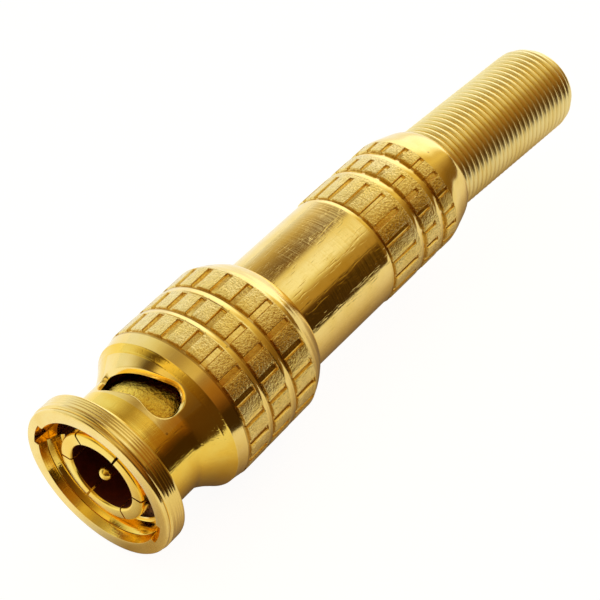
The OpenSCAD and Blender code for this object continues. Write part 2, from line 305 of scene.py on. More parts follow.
def turning_marks():
    """Fine rings left by the lathe, all square to the X axis, with broken scratches."""
    tree, n, given, out = node_group(
        "turning_marks",
        [("Fineness", "Float", 9000.0), ("Scratches", "Float", 0.3)],
        [("Height", "Float", None)],
    )
    place = n.add("ShaderNodeTexCoord").outputs["Object"]
    rings = n.add("ShaderNodeCombineXYZ")
    n.put(rings.inputs[0], given.outputs["Fineness"])
    n.put(rings.inputs[1], 90.0)
    n.put(rings.inputs[2], 90.0)
    fine = n.noise(n.stretched(place, rings.outputs[0]), 1.0, 2.0, 0.6)
    broad = n.noise(n.stretched(place, (2300.0, 120.0, 120.0)), 1.0, 1.0)
    scratch = n.noise(n.stretched(place, (520.0, 3800.0, 3800.0)), 1.0, 2.0, 0.7)
    deep = n.spread(scratch, 0.56, 0.72)
    ringed = n.math("ADD", n.math("MULTIPLY", fine, 0.6), n.math("MULTIPLY", broad, 0.4))
    cut = n.math("MULTIPLY", deep, given.outputs["Scratches"])
    n.link(n.math("SUBTRACT", ringed, cut), out.inputs["Height"])
    return tree


def cast_grain():
    """The uneven, sandy skin of a plated casting, in two sizes of grain, and a mask of the
    fine grain's hollows, where gold() paints shade.
    """
    tree, n, given, out = node_group(
        "cast_grain",
        [("Grains", "Float", 4200.0), ("Unevenness", "Float", 0.5)],
        [("Height", "Float", None), ("Hollow Shade", "Float", None)],
    )
    place = n.add("ShaderNodeTexCoord").outputs["Object"]
    fine = n.noise(place, given.outputs["Grains"], 4.0, 0.62)
    lumps = n.noise(place, 1300.0, 2.0, 0.5)
    height = n.math("ADD", fine, n.math("MULTIPLY", lumps, given.outputs["Unevenness"]))
    n.link(height, out.inputs["Height"])
    n.link(n.spread(fine, 0.5, 0.36), out.inputs["Hollow Shade"])
    return tree


def plating_tone():
    """Slow changes of the gold's tone, dull patches, and a few small dark pits."""
    tree, n, given, out = node_group(
        "plating_tone",
        [
            ("Gold", "Color", (1, 0.78, 0.3, 1)),
            ("Warm Gold", "Color", (1, 0.7, 0.2, 1)),
            ("Pit", "Color", (0.16, 0.07, 0.015, 1)),
            ("Pits", "Float", 0.5),
        ],
        [("Color", "Color", None), ("Dullness", "Float", None)],
    )
    place = n.add("ShaderNodeTexCoord").outputs["Object"]
    patches = n.noise(place, 420.0, 3.0, 0.55)
    tone = n.blend(
        n.spread(patches, 0.38, 0.66), given.outputs["Gold"], given.outputs["Warm Gold"]
    )
    cells = n.add("ShaderNodeTexVoronoi")
    n.put(cells.inputs["Vector"], place)
    n.put(cells.inputs["Scale"], 900.0)
    here = n.noise(place, 650.0, 1.0)
    spot = n.math(
        "MULTIPLY",
        n.spread(cells.outputs["Distance"], 0.13, 0.07),
        n.spread(here, 0.6, 0.66),
    )
    spot = n.math("MULTIPLY", spot, given.outputs["Pits"], clamp=True)
    n.link(n.blend(spot, tone, given.outputs["Pit"]), out.inputs["Color"])
    dull = n.math("ADD", n.math("MULTIPLY", patches, 0.5), spot, clamp=True)
    n.link(dull, out.inputs["Dullness"])
    return tree


TURNING_MARKS = turning_marks()
CAST_GRAIN = cast_grain()
PLATING_TONE = plating_tone()


def new_material(name):
    material = bpy.data.materials.new(name)
    material.use_nodes = True
    nodes = Nodes(material.node_tree)
    shader = material.node_tree.nodes["Principled BSDF"]
    return material, nodes, shader


def place_group(nodes, tree, values):
    node = nodes.add("ShaderNodeGroup", node_tree=tree)
    for name, value in values.items():
        nodes.put(node.inputs[name], value)
    return node


def gold(
    name,
    tone=(1.0, 0.78, 0.3),
    warm=(0.96, 0.72, 0.22),
    roughness=(0.1, 0.22),
    fineness=9000.0,
    scratches=0.3,
    marks=0.35,
    grains=0.0,
    grain_size=4200.0,
    pits=0.5,
    hollow_shade=(0.45, 0.2, 0.035),
):
    """Plated gold. marks and grains are the bump strengths of the two surfaces.
    hollow_shade is painted shade: the darker colour put into the hollows of the grain.
    """
    mark_depth, grain_depth, most_hollow = 0.01 * MM, 0.08 * MM, 0.6
    material, n, shader = new_material(name)
    shader.inputs["Metallic"].default_value = 1.0
    tones = place_group(
        n,
        PLATING_TONE,
        {"Gold": (*tone, 1), "Warm Gold": (*warm, 1), "Pits": pits},
    )
    colour = tones.outputs["Color"]
    rings = place_group(n, TURNING_MARKS, {"Fineness": fineness, "Scratches": scratches})
    normal = n.bump(rings.outputs["Height"], marks, mark_depth)
    if grains:
        sand = place_group(n, CAST_GRAIN, {"Grains": grain_size})
        normal = n.bump(sand.outputs["Height"], grains, grain_depth, normal)
        # Painted shade: in the hollows of the grain the colour is darkened towards
        # hollow_shade.
        share = n.math("MULTIPLY", sand.outputs["Hollow Shade"], min(grains, most_hollow))
        colour = n.blend(share, colour, (*hollow_shade, 1))
    n.link(colour, shader.inputs["Base Color"])
    dull = tones.outputs["Dullness"]
    n.link(n.spread(dull, 0.0, 1.0, *roughness), shader.inputs["Roughness"])
    n.link(normal, shader.inputs["Normal"])
    return material


def dark_bore(name, colour, roughness=0.5):
    """A dark, cloudy brown with little shine. On the contact's bore this brown is painted
    shade, where light hardly reaches; the insulator gets the same dark red-brown.
    """
    material, n, shader = new_material(name)
    place = n.add("ShaderNodeTexCoord").outputs["Object"]
    cloud = n.noise(place, 1500.0, 3.0, 0.6)
    deep = tuple(c * 0.6 for c in colour)
    n.link(
        n.blend(n.spread(cloud, 0.35, 0.65), (*colour, 1), (*deep, 1)),
        shader.inputs["Base Color"],
    )
    shader.inputs["Specular IOR Level"].default_value = 0.25
    n.link(
        n.spread(cloud, 0.3, 0.7, roughness, roughness + 0.15), shader.inputs["Roughness"]
    )
    n.link(n.bump(cloud, 0.3, 0.03 * MM), shader.inputs["Normal"])
    return material


def clear_plastic():
    material, n, shader = new_material("clear_plastic")
    place = n.add("ShaderNodeTexCoord").outputs["Object"]
    haze = n.noise(place, 600.0, 3.0, 0.6)
    n.link(
        n.blend(haze, (0.93, 0.94, 0.93, 1), (0.82, 0.84, 0.83, 1)),
        shader.inputs["Base Color"],
    )
    n.link(n.spread(haze, 0.3, 0.7, 0.12, 0.3), shader.inputs["Roughness"])
    shader.inputs["Transmission Weight"].default_value = 0.85
    shader.inputs["IOR"].default_value = 1.46
    return material


def gasket_rubber():
    material, n, shader = new_material("gasket_rubber")
    place = n.add("ShaderNodeTexCoord").outputs["Object"]
    bloom = n.noise(place, 2600.0, 3.0, 0.6)
    n.link(
        n.blend(bloom, (0.12, 0.035, 0.02, 1), (0.2, 0.07, 0.04, 1)),
        shader.inputs["Base Color"],
    )
    n.link(n.spread(bloom, 0.3, 0.7, 0.55, 0.75), shader.inputs["Roughness"])
    n.link(n.bump(bloom, 0.25, 0.03 * MM), shader.inputs["Normal"])
    return material


GOLD_TURNED = gold("gold_turned")
GOLD_TUBE = gold(
    "gold_tube",
    roughness=(0.08, 0.2),
    fineness=5500.0,
    scratches=1.0,
    marks=0.7,
    pits=0.9,
)
GOLD_NECK = gold(
    "gold_neck",
    tone=(1.0, 0.74, 0.15),
    warm=(0.98, 0.66, 0.09),
    roughness=(0.09, 0.2),
    marks=0.6,
    scratches=0.6,
)
GOLD_CAST = gold(
    "gold_cast",
    tone=(1.0, 0.82, 0.34),
    warm=(0.98, 0.75, 0.22),
    roughness=(0.12, 0.22),
    marks=0.15,
    grains=1.0,
    grain_size=4600.0,
    pits=0.0,
    hollow_shade=(0.74, 0.5, 0.13),
)
# Painted shade: the slot floors are a slightly darker, warmer gold than the cast bands;
# their rougher finish is their own.
GOLD_RECESS_PAINTED_SHADE = gold(
    "gold_recess_painted_shade",
    tone=(1.0, 0.77, 0.27),
    warm=(0.97, 0.7, 0.18),
    roughness=(0.16, 0.3),
    marks=0.3,
    grains=0.25,
    pits=0.0,
)
# Painted shade: the turned grooves are a darker gold than the faces round them.
GOLD_GROOVE_PAINTED_SHADE = gold(
    "gold_groove_painted_shade",
    tone=(0.7, 0.48, 0.14),
    warm=(0.55, 0.34, 0.08),
    roughness=(0.18, 0.32),
    marks=0.3,
    pits=0.0,
)
GOLD_FACE = gold(
    "gold_face",
    tone=(1.0, 0.77, 0.27),
    warm=(0.96, 0.7, 0.2),
    roughness=(0.24, 0.34),
    marks=0.3,
    grains=0.04,
    pits=0.3,
)
GOLD_CONTACT = gold(
    "gold_contact",
    tone=(1.0, 0.74, 0.15),
    warm=(0.98, 0.64, 0.09),
    roughness=(0.18, 0.28),
    marks=0.3,
    grains=0.05,
    pits=0.0,
)
GOLD_CONTACT_SIDE = gold(
    "gold_contact_side",
    tone=(1.0, 0.75, 0.13),
    warm=(1.0, 0.64, 0.07),
    roughness=(0.12, 0.2),
    marks=0.2,
    grains=1.0,
    grain_size=3800.0,
    pits=0.0,
    hollow_shade=(0.6, 0.34, 0.04),
)
GOLD_WIRE = gold(
    "gold_wire",
    tone=(1.0, 0.85, 0.4),
    warm=(0.98, 0.8, 0.32),
    roughness=(0.26, 0.36),
    marks=0.15,
    pits=0.0,
)
SPRING_STEEL = gold(
    "spring_steel",
    tone=(0.62, 0.6, 0.56),
    warm=(0.5, 0.47, 0.43),
    roughness=(0.2, 0.36),
    marks=0.3,
    pits=0.4,
)
# Painted shade: the contact's bore is a dark brown instead of gold.
BORE_PAINTED_SHADE = dark_bore("bore_painted_shade", (0.12, 0.012, 0.0))
# Painted shade: the insides of the nut and of the tail sleeve are gold darkened to a deep
# brown.
GOLD_INSIDE_PAINTED_SHADE = gold(
    "gold_inside_painted_shade",
    tone=(0.42, 0.16, 0.03),
    warm=(0.3, 0.1, 0.015),
    roughness=(0.3, 0.45),
    marks=0.3,
    grains=0.3,
)
INSULATOR = dark_bore("insulator_brown", (0.12, 0.02, 0.008), 0.4)


# ------------------------------------------------------------- the coupling nut

BAND_R = round(cad_box[1][2] / MM, 2)
NECK_R = 5.4
BORE_R = 4.93
NUT_WALL = 0.45
MOUTH_R = 5.78
MOUTH_DEPTH = 1.95
FLANGE_R = 7.04
NUT_SLOTS = 23
NUT_SLOT_TURN = 39
NUT_SLOT_WIDTH = 0.55
NUT_SLOT_DEPTH = 0.22
NUT_GROOVES = (9.45, 12.38, 15.31)
NUT_SLOT_ENDS = (11.77, 14.57, 17.77)
GROOVE_WIDTH = 0.25
# The two entry notches of the mating face, and the channel from each to its track. The
# face's first row makes way for a notch by NOTCH_MARGIN.
NOTCH_R = 6.2
NOTCH_TURN = -74
NOTCH_HALF = 12.1
NOTCH_MARGIN = 0.1
CHANNEL_DEPTH = 0.32

NUT_FINISHES = {
    "turned": GOLD_TURNED,
    "cast": GOLD_CAST,
    "recess": GOLD_RECESS_PAINTED_SHADE,
    "face": GOLD_FACE,
    "neck": GOLD_NECK,
    "inside": GOLD_INSIDE_PAINTED_SHADE,
    "groove": GOLD_GROOVE_PAINTED_SHADE,
}
FINISH = {name: i for i, name in enumerate(NUT_FINISHES)}

# Stations of the rows over the windows. The close ones draw the fine ridge.
TRACK_X = [*np.arange(4.2, 7.55, 0.1), 7.6, 7.66, 7.7, 7.74, 7.78, 7.84, 7.92, 8.0, 8.1]
# Between these stations and turns the windows are cut.
WINDOW_X = (4.3, 7.66)
WINDOW_TURN = (-52, 41)
# Edge of the window over the lug's track, as (turn, x), in four runs: front, far end,
# rear and near end
WINDOW = [
    [(-35.5, 4.52), (-28, 4.57), (-20, 4.68), (-12, 4.82), (-5, 4.97), (1, 5.03),
     (7, 4.96), (12, 4.84), (17, 4.76), (22, 4.79)],
    [(27, 4.98), (31.5, 5.4), (34, 6.05), (33, 6.8)],
    [(28, 7.3), (22, 7.51), (16.5, 7.48), (9, 7.31), (0.5, 7.15), (-12.5, 6.95),
     (-26, 6.75), (-38, 6.56), (-45, 6.4)],
    [(-49, 6.05), (-49, 5.6), (-46, 5.1), (-41, 4.7)],
]


def shoulder(x):
    """Radius of the nut's outside from the neck up the flare to its sharp edge."""
    on = x - 6.0
    flare = 5.48 + 0.5 * on + 0.08 * on * on - NECK_R
    ridge = 0.018 * np.exp(-(((x - 7.74) / 0.035) ** 2))
    return NECK_R + 0.5 * (flare + np.hypot(flare, 0.1)) + ridge


def nut_bore(x):
    """Radius inside the nut under the neck and shoulder, which has an even wall."""
    return np.clip(shoulder(x) - NUT_WALL, BORE_R, 6.59)


def near_notch(turns):
    """1 at the turns in a notch of the mating face, 0 elsewhere, eased at its sides."""
    off = np.abs((np.asarray(turns) - NOTCH_TURN + 90) % 180 - 90)
    return np.clip((NOTCH_HALF + 0.25 - off) / 0.5, 0, 1)


def nut_turns():
    turns, depths = slot_turns(NUT_SLOTS, NUT_SLOT_TURN, NUT_SLOT_WIDTH, BAND_R)
    for side in (0, 180):
        for edge in (-1, 1):
            for off in (-0.4, -0.2, 0.2, 0.4):
                turns = np.append(turns, NOTCH_TURN + side + edge * NOTCH_HALF + off)
                depths = np.append(depths, np.nan)
    turns = (turns + 180) % 360 - 180
    order = np.argsort(turns)
    turns, depths = turns[order], depths[order]
    known = ~np.isnan(depths)
    depths = np.where(known, depths, np.interp(turns, turns[known], depths[known]))
    return turns, depths


# The rows of the nut are (x, r, slot share, finish). The finish is that of the faces
# between the row and the one before it.


def nut_inside():
    """Rows from the rear of the nut's cavity to the face round its mouth."""
    rows = [
        (19.97, 5.72, 0, "turned"),
        (19.8, 5.62, 0, "turned"),
        (11.7, 5.62, 0, "inside"),
        (11.6, 5.5, 0, "inside"),
        (11.6, 4.98, 0, "inside"),
        (11.5, BORE_R, 0, "inside"),
        (10.7, BORE_R, 0, "inside"),
        (10.6, 5.0, 0, "inside"),
        (10.6, 6.5, 0, "inside"),
        (10.45, 6.59, 0, "inside"),
    ]
    rows += [(x, nut_bore(x), 0, "inside") for x in reversed(TRACK_X)]
    return rows + [
        (3.0, BORE_R, 0, "inside"),
        (MOUTH_DEPTH + 0.07, BORE_R, 0, "inside"),
        (MOUTH_DEPTH, BORE_R + 0.06, 0, "turned"),
        (MOUTH_DEPTH, 5.2, 0, "turned"),
        (1.9, 5.26, 0, "neck"),
        (1.5, 5.38, 0, "neck"),
        (0.82, 5.58, 0, "neck"),
        (0.79, 5.61, 0, "neck"),
        (0.74, 5.62, 0, "neck"),
        (0.71, 5.61, 0, "neck"),
        (0.1, MOUTH_R, 0, "neck"),
        (0.03, MOUTH_R + 0.02, 0, "neck"),
        (0.0, MOUTH_R + 0.09, 0, "face"),
        (0.0, 6.3, 0, "face"),
    ]


def nut_front():
    """Rows of the face, the ringed flange and the neck."""
    rows = [
        (0.0, 6.6, 0, "face"),
        (0.0, 6.8, 0, "face"),
        (0.03, 6.88, 0, "face"),
        (0.12, 6.95, 0, "turned"),
        (0.27, 6.96, 0, "turned"),
        (0.33, 6.87, 0, "turned"),
        (0.41, 6.87, 0, "groove"),
        (0.47, 6.98, 0, "turned"),
        (0.55, FLANGE_R, 0, "turned"),
    ]
    for ring in (0.84, 1.16, 1.38, 1.58):
        rows += [
            (ring - 0.03, FLANGE_R, 0, "turned"),
            (ring, FLANGE_R - 0.008, 0, "turned"),
            (ring + 0.03, FLANGE_R, 0, "turned"),
        ]
    rows += [
        (1.78, FLANGE_R, 0, "turned"),
        (1.9, 7.01, 0, "turned"),
        (1.98, 6.92, 0, "turned"),
        (2.01, 6.8, 0, "turned"),
        (2.03, 5.62, 0, "neck"),
        (2.07, 5.48, 0, "neck"),
        (2.16, 5.41, 0, "neck"),
        (2.3, NECK_R, 0, "neck"),
        (3.2, NECK_R, 0, "neck"),
    ]
    return rows + [(x, shoulder(x), 0, "neck") for x in TRACK_X]


def nut_grip():
    """Rows of the plain ring, the three slotted bands and the rear rim."""
    ring_r = 7.22
    rows = [
        (8.19, 6.965, 0, "neck"),
        (8.23, 7.015, 0, "neck"),
        (8.27, 7.035, 0, "turned"),
        (8.33, 7.04, 0, "turned"),
        (8.8, 7.09, 0, "turned"),
        (9.1, 7.14, 0, "turned"),
        (9.3, 7.18, 0, "turned"),
    ]
    before = 7.2
    for groove, slot_end in zip(NUT_GROOVES, NUT_SLOT_ENDS):
        for x, r in groove_rows(groove, before, 6.98, BAND_R, GROOVE_WIDTH):
            on_band = x >= groove + GROOVE_WIDTH
            rows.append((x, r, 1, "cast") if on_band else (x, r, 0, "groove"))
        rows += [
            (groove + 0.9, BAND_R, 1, "cast"),
            (slot_end - 0.5, BAND_R, 1, "cast"),
            *slot_end_rows(slot_end, BAND_R),
        ]
        if groove != NUT_GROOVES[-1]:
            rows += [
                (groove + 2.6, BAND_R, 0, "turned"),
                (groove + 2.66, BAND_R - 0.03, 0, "turned"),
                (groove + 2.82, ring_r, 0, "turned"),
            ]
        before = ring_r
    return rows + [
        (17.95, 7.22, 0, "cast"),
        (18.2, 7.13, 0, "turned"),
        (18.45, 7.03, 0, "turned"),
        (18.52, 6.98, 0, "turned"),
        (18.8, 6.86, 0, "turned"),
        (19.0, 6.75, 0, "turned"),
        (19.2, 6.63, 0, "turned"),
        (19.4, 6.5, 0, "turned"),
        (19.6, 6.37, 0, "turned"),
        (19.8, 6.22, 0, "turned"),
        (19.93, 6.08, 0, "turned"),
        (20.0, 5.86, 0, "turned"),
    ]


def cut_notches(x, r, notch):
    """Stations and radii of a row of the nut's inside, with the entry notches cut."""
    stations, radii = x, r
    if r > NOTCH_R:
        radii = r + notch * NOTCH_MARGIN
    elif r > BORE_R + 0.1:
        radii = r + notch * (NOTCH_R + 0.2 * min(r - MOUTH_R, 0) - r)
    elif x <= 5:
        radii = r + notch * CHANNEL_DEPTH
    if 1.4 < x < 2:
        stations = x - notch * (x - 1.4) * 0.7
    return stations, radii


# The way in which the loose pieces lean, square to the axis
LEAN_WAY = np.array([0, -0.864, -0.503])


def nut_lean(places):
    """The nut fits loosely, and sits a degree out of line on the body."""
    tilt, pivot = 0.018, 5.9
    places = places.copy()
    reach = places @ LEAN_WAY
    places -= np.outer((places[:, 0] - pivot) * tilt, LEAN_WAY)
    places[:, 0] += reach * tilt
    return places


def coupling_nut():
    turns, depths = nut_turns()
    notch = near_notch(turns)
    in_slot = (depths > 0.02) & (np.roll(depths, -1) > 0.02)
    inside = nut_inside()
    profile = inside + nut_front() + nut_grip()
    skin = Skin()
    rows, finishes = [], []
    for i, (x, r, share, finish) in enumerate(profile):
        stations, radii = x, r - NUT_SLOT_DEPTH * share * depths
        if i < len(inside) and x < 5.2:
            stations, radii = cut_notches(x, r, notch)
        rows.append(skin.ring(stations, radii, turns))
        finish_here = np.full(len(turns), FINISH[finish])
        if share:
            finish_here[in_slot] = FINISH["recess"]
        finishes.append(finish_here.tolist())

    low, high = WINDOW_X
    over_window = [i for i, row in enumerate(profile) if low - 0.01 < row[0] < high + 0.01]
    inner_rows = [i for i in over_window if i < len(inside)]
    outer_rows = [i for i in over_window if i >= len(inside)]
    windows = {}
    for side in (0, 180):
        along = (turns - side - WINDOW_TURN[0]) % 360
        columns = np.nonzero(along <= WINDOW_TURN[1] - WINDOW_TURN[0])[0]
        windows[side] = sorted(columns.tolist(), key=lambda i: along[i])
    holes = {column for columns in windows.values() for column in columns[:-1]}
    for i in range(len(rows)):
        j = (i + 1) % len(rows)
        open_rows = any(span[0] <= i < span[-1] for span in (inner_rows, outer_rows))
        skin.bridge(rows[i], rows[j], finishes[j], skip=holes if open_rows else ())
    for side, columns in windows.items():
        cut_window(skin, rows, columns, outer_rows, inner_rows, side)
    return skin.build("nut_skin", NUT_FINISHES.values(), nut_lean)


def cut_window(skin, rows, columns, outer_rows, inner_rows, side):
    """Joins the outside and the bore round one window, with a rounded edge."""
    rim_out, lip_out = 0.08, 0.06
    lip = ((0.03, 0.01), (0, 0.035), (-0.03, 0.08), (-0.1, 0.22), (-0.15, 0.35))
    edge, normal = closed_curve(WINDOW, [len(columns) - 1, len(outer_rows) - 1] * 2)
    edge[:, 0] += side

    def frame_loop(row_numbers):
        """Points round the opening left in the grid, from its front near corner."""
        front, rear = row_numbers[0], row_numbers[-1]
        left, right = columns[0], columns[-1]
        loop = [rows[front][c] for c in columns[:-1]]
        loop += [rows[r][right] for r in row_numbers[:-1]]
        loop += [rows[rear][c] for c in columns[:0:-1]]
        loop += [rows[r][left] for r in row_numbers[:0:-1]]
        return loop

    def fill(loop, radius):
        """Loops from the opening in the grid to the window's rim."""
        border = np.array([(skin.points[p][2], skin.points[p][0]) for p in loop])
        border[:, 0] = (border[:, 0] - side + 180) % 360 - 180 + side
        rim = edge + normal * rim_out
        loops = [loop]
        for share in (0.78, 0.56, 0.36, 0.2, 0.08):
            mixed = border * share + rim * (1 - share)
            loops.append([skin.point(x, radius(x), t) for t, x in mixed])
        loops.append([skin.point(x, radius(x), t) for t, x in edge + normal * lip_out])
        return loops

    outer = fill(frame_loop(outer_rows), shoulder)
    inner = fill(frame_loop(inner_rows[::-1]), nut_bore)
    wall = [
        [skin.point(x, shoulder(x) - drop, t) for t, x in edge + normal * out]
        for out, drop in lip
    ]
    for a, b in zip(outer + wall, (outer + wall)[1:]):
        skin.bridge(b, a, FINISH["turned"])
    skin.bridge(inner[-1], wall[-1], FINISH["turned"])
    for a, b in zip(inner, inner[1:]):
        skin.bridge(a, b, FINISH["inside"])


# ------------------------------------------------------------ the other pieces


CONTACT_R = 4.1
CONTACT_BORE_R = 2.98
CONTACT_SLOT_END = 4.7


def contact_fingers(skin):
    """Six spring fingers with rounded tips, from the front to the end of the slots."""
    slots, slot_width, first = 6, 0.22, 27
    half = math.degrees(slot_width / 2 / CONTACT_R)
    tip, side, bore = 0, 1, 2
    outline = [
        (CONTACT_SLOT_END, CONTACT_BORE_R, bore), (1.05, CONTACT_BORE_R, bore),
        (0.8, 3.0, bore), (0.68, 3.06, tip), (0.61, 3.16, tip), (0.6, 3.24, tip),
        (0.6, 3.92, tip), (0.62, 3.99, tip), (0.68, 4.06, tip), (0.76, 4.095, tip),
        (0.9, CONTACT_R, tip), (4.0, CONTACT_R, tip), (CONTACT_SLOT_END, CONTACT_R, side),
    ]
    for finger in range(slots):
        start = first + finger * 360 / slots + half
        turns = np.linspace(start, start + 360 / slots - 2 * half, 17)
        rows = [skin.ring(x, r, turns) for x, r, _ in outline]
        for i in range(len(rows)):
            j = (i + 1) % len(rows)
            skin.bridge(rows[i], rows[j], outline[j][2], closed=False)
        skin.cap([row[0] for row in reversed(rows)], side)
        skin.cap([row[-1] for row in rows], side)


def contact_shank(skin):
    """The tube that carries the fingers, with a rounded collar under the windows."""
    collar_length, collar_height, side, bore = 2.2, 0.66, 1, 2
    outline = [(16.4, CONTACT_BORE_R), (CONTACT_SLOT_END, CONTACT_BORE_R)]
    outline += [
        (
            CONTACT_SLOT_END + collar_length * (1 - math.cos(a)),
            CONTACT_R + collar_height * math.sin(a),
        )
        for a in np.radians(np.arange(0, 91, 9))
    ]
    outline += [
        (8.0, CONTACT_R + collar_height), (8.1, 4.66), (8.2, CONTACT_R),
        (11.6, CONTACT_R), (11.65, 4.05), (11.65, 3.79), (16.4, 3.79),
    ]
    turns = even_turns(96)
    rows = [skin.ring(x, r, turns) for x, r in outline]
    for i in range(len(rows)):
        skin.bridge(rows[i], rows[(i + 1) % len(rows)], bore if i == 0 else side)


def outer_contact():
    skin = Skin()
    contact_fingers(skin)
    contact_shank(skin)
    return skin.build("contact_fingers", [GOLD_CONTACT, GOLD_CONTACT_SIDE, BORE_PAINTED_SHADE])


def centre_pin():
    tip_r, tip_x = 0.6, 0.7
    outline = [
        (tip_x + tip_r * (1 - math.cos(a)), tip_r * math.sin(a))
        for a in np.radians(np.arange(6, 91, 6))
    ]
    outline += [
        (3.4, tip_r), (3.8, 0.675), (16.4, 0.675), (16.4, 1.15), (21.5, 1.15),
        (21.6, 1.05), (21.6, 0.85), (21.5, 0.8), (17.4, 0.8),
    ]
    skin = Skin()
    turns = even_turns(48)
    rings = [skin.ring(x, r, turns) for x, r in outline]
    for a, b in zip(rings, rings[1:]):
        skin.bridge(a, b)
    skin.cap(rings[0])
    skin.cap(rings[-1][::-1])
    return skin.build("pin", [GOLD_CONTACT])


TAIL_R = 5.5
TUBE_R = 5.38
TAIL_GROOVE_R = 5.2
TAIL_SLOTS = 21
TAIL_SLOT_TURN = 34.6
TAIL_SLOT_WIDTH = 0.4
TAIL_SLOT_DEPTH = 0.2
TAIL_BANDS = (31.05, 35.55, 38.4)
TAIL_SLOT_ENDS = (34.1, 36.95, 39.65)
TAIL_FINISHES = {
    "turned": GOLD_TURNED,
    "cast": GOLD_CAST,
    "recess": GOLD_RECESS_PAINTED_SHADE,
    "tube": GOLD_TUBE,
    "inside": GOLD_INSIDE_PAINTED_SHADE,
    "groove": GOLD_GROOVE_PAINTED_SHADE,
}


def tail_profile():
    """Rows (x, r, slot share, finish), from the bore round the front to the dome."""
    rows = [
        (41.7, 4.43, 0, "inside"),
        (17.1, 4.43, 0, "inside"),
        (17.0, 4.5, 0, "turned"),
        (17.0, 5.2, 0, "turned"),
        (17.15, TUBE_R, 0, "tube"),
    ]
    rows += [(x, TUBE_R, 0, "tube") for x in (21, 24, 27, 29, 30.4)]
    before = TUBE_R
    for start, slot_end in zip(TAIL_BANDS, TAIL_SLOT_ENDS):
        rows += [
            (start - 0.28, before, 0, "tube"),
            (start - 0.22, before - 0.03, 0, "groove"),
            (start - 0.12, TAIL_GROOVE_R, 0, "groove"),
            (start - 0.01, TAIL_GROOVE_R, 0, "groove"),
            (start, TAIL_R - 0.06, 1, "cast"),
            (start + 0.03, TAIL_R - 0.015, 1, "cast"),
            (start + 0.08, TAIL_R, 1, "cast"),
            (slot_end - 0.4, TAIL_R, 1, "cast"),
            *slot_end_rows(slot_end, TAIL_R),
        ]
        if start != TAIL_BANDS[-1]:
            rows += [
                (slot_end + 0.5, TAIL_R, 0, "cast"),
                (slot_end + 0.95, 5.4, 0, "turned"),
                (slot_end + 1.1, 5.33, 0, "turned"),
            ]
        before = 5.32
    dome = [
        (39.95, 5.47), (40.3, 5.4), (40.65, 5.31), (41.0, 5.2), (41.45, 5.08),
        (41.9, 4.95), (42.25, 4.84), (42.55, 4.72), (42.8, 4.59), (42.95, 4.48),
        (43.06, 4.37), (43.1, 4.3), (43.08, 4.23), (43.0, 4.2), (41.72, 4.2),
    ]
    return rows + [(x, r, 0, "turned") for x, r in dome]


def tail_sleeve():
    turns, depths = slot_turns(TAIL_SLOTS, TAIL_SLOT_TURN, TAIL_SLOT_WIDTH, TAIL_R)
    in_slot = (depths > 0.02) & (np.roll(depths, -1) > 0.02)
    numbers = {name: i for i, name in enumerate(TAIL_FINISHES)}
    profile = tail_profile()
    skin = Skin()
    rings = [
        skin.ring(x, r - TAIL_SLOT_DEPTH * share * depths, turns)
        for x, r, share, _ in profile
    ]
    for i in range(len(rings)):
        j = (i + 1) % len(rings)
        finish_here = np.full(len(turns), numbers[profile[j][3]])
        if profile[j][2]:
            finish_here[in_slot] = numbers["recess"]
        skin.bridge(rings[i], rings[j], finish_here.tolist())
    return skin.build("sleeve_skin", TAIL_FINISHES.values())


def spring_lean(places):
    """The spring leans a little out of line, more and more towards its end."""
    lean, foot = 0.05, 42.6
    beyond = np.maximum(places[:, 0] - foot, 0)
    return places + np.outer(lean * beyond, LEAN_WAY)


def coil_radius(turns_done, turns_left):
    """Outside radius of the coil: wide at its foot and drawn in at its end."""
    coil_r, foot_r, foot_turns = 4.18, 4.38, 2
    end_turns, drawn_in = 3, 0.9
    r = foot_r - (foot_r - coil_r) * min(max(turns_done - foot_turns, 0), 1)
    if turns_left < end_turns:
        r -= drawn_in * ((end_turns - turns_left) / end_turns) ** 2
    return r


def strain_relief_spring():
    wire_r, pitch, flatness = 0.305, 0.63, 0.6
    start, end, steps, sides = 39.46, 60.6, 48, 14
    turns = (end - wire_r - start) / pitch
    angles = np.linspace(0, 2 * math.pi, sides, endpoint=False)
    along = wire_r * np.sin(angles)
    across = wire_r * np.sign(np.cos(angles)) * np.abs(np.cos(angles)) ** flatness
    skin = Skin()
    previous = None
    for i in range(int(turns * steps) + 1):
        t = i / steps
        middle = coil_radius(t, turns - t) - wire_r
        ring = [
            skin.point(start + t * pitch + forward, middle + outward, 180 - 360 * t)
            for forward, outward in zip(along, across)
        ]
        if previous:
            skin.bridge(previous, ring)
        else:
            skin.cap(ring[::-1])
        previous = ring
    skin.cap(previous)
    return skin.build("spring_wire", [GOLD_WIRE], spring_lean)


MADE = [
    (coupling_nut(), "nut", "coupling_nut", "gold_cast"),
    (outer_contact(), "body", "outer_contact", "gold_turned"),
    (centre_pin(), "body", "centre_pin", "gold_turned"),
    (tail_sleeve(), "tail", "tail_sleeve", "gold_turned"),
    (strain_relief_spring(), "tail_spring", "strain_relief_spring", "gold_wire"),
]
for piece, body, node, slot in MADE:
    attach(piece, body)
    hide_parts(node)

KEPT = {
    "plug_body": GOLD_TURNED,
    "front_insulator": INSULATOR,
    "gasket": gasket_rubber(),
    "wave_washer": SPRING_STEEL,
    "thrust_washer": SPRING_STEEL,
    "retaining_ring": SPRING_STEEL,
    "cable_clamp": GOLD_TURNED,
    "insulating_sleeve": clear_plastic(),
}
for node, material in KEPT.items():
    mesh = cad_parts[node].data
    mesh.materials.clear()
    mesh.materials.append(material)


# ------------------------------------------------------- floor, light and camera


